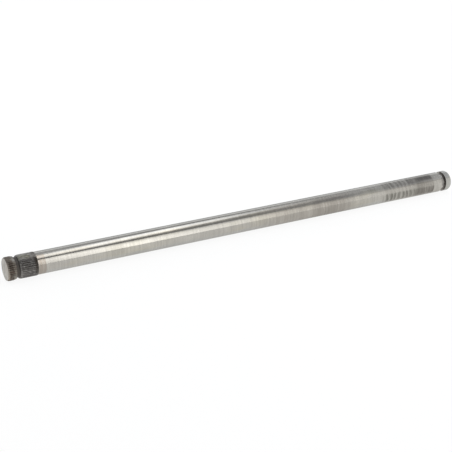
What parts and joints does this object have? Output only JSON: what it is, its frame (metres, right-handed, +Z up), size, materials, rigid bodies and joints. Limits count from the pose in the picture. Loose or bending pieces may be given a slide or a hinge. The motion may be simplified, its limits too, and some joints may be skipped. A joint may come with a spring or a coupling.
{
  "type": "straight wheel axle",
  "caption": "Straight round steel axle with a ground journal, a serrated wheel seat at one end and a ring groove beside each end.",
  "frame": {"origin": "on the axis, half way between the two end faces", "axes": "+X along the axis from the serrated end to the plain end, +Z up; the part is the same all round"},
  "size_m": [0.4444, 0.0196, 0.0196],
  "materials": {
    "ground_steel": "cylindrically ground, used"
  },
  "bodies": {
    "root": {"axle_shaft": "ground_steel"}
  },
  "joints": []
}
